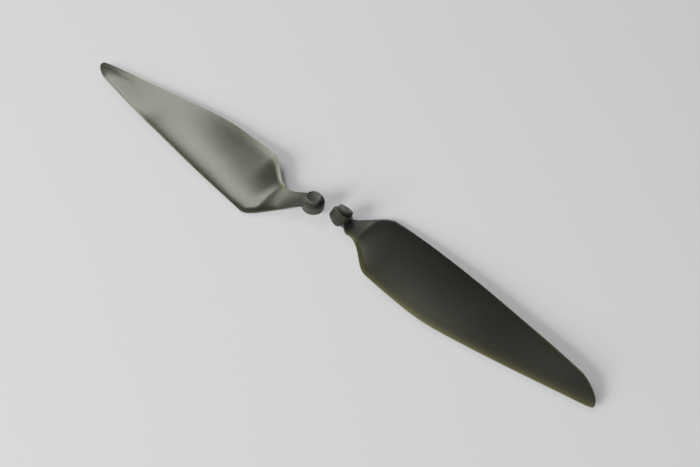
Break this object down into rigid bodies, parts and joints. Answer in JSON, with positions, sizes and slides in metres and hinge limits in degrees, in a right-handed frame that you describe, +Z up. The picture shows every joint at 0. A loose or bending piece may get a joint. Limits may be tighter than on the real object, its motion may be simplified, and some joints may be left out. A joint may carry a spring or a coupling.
{
  "type": "folding propeller blade pair",
  "caption": "Pair of folding propeller blades for a model aircraft or drone, lying loose in line, each twisted nylon blade turning on its own headed hinge pin.",
  "frame": {"origin": "middle of the pair's footprint, on the surface that the blades lie on", "axes": "+X along the pair, from the left blade's tip to the right blade's tip; +Y towards the right blade's leading edge; +Z up"},
  "size_m": [0.2634, 0.0426, 0.0106],
  "materials": {
    "blade_nylon": "satin glass-filled nylon, thin edges slightly translucent",
    "pin_steel": "dark phosphate",
    "clip_steel": "blackened spring steel",
    "bush_brass": "machined",
    "washer_acetal": "matte"
  },
  "bodies": {
    "pins": {"right_hinge_pin": "pin_steel", "right_upper_washer": "washer_acetal", "right_lower_washer": "washer_acetal", "right_retaining_clip": "clip_steel", "left_hinge_pin": "pin_steel", "left_upper_washer": "washer_acetal", "left_lower_washer": "washer_acetal", "left_retaining_clip": "clip_steel"},
    "right_swing": {"right_blade": "blade_nylon", "right_hinge_bush": "bush_brass"},
    "left_swing": {"left_blade": "blade_nylon", "left_hinge_bush": "bush_brass"}
  },
  "joints": [
    {"name": "right_fold", "type": "hinge", "parent": "pins", "child": "right_swing", "pos_m": [0.00882, 0.0047, 0.0056], "axis": [-0.0202, -0.7873, -0.6162], "range_deg": [0, 100]},
    {"name": "left_fold", "type": "hinge", "parent": "pins", "child": "left_swing", "pos_m": [-0.00384, 0.00105, 0.00588], "axis": [-0.0495, 0.2096, 0.9765], "range_deg": [0, 100]}
  ]
}
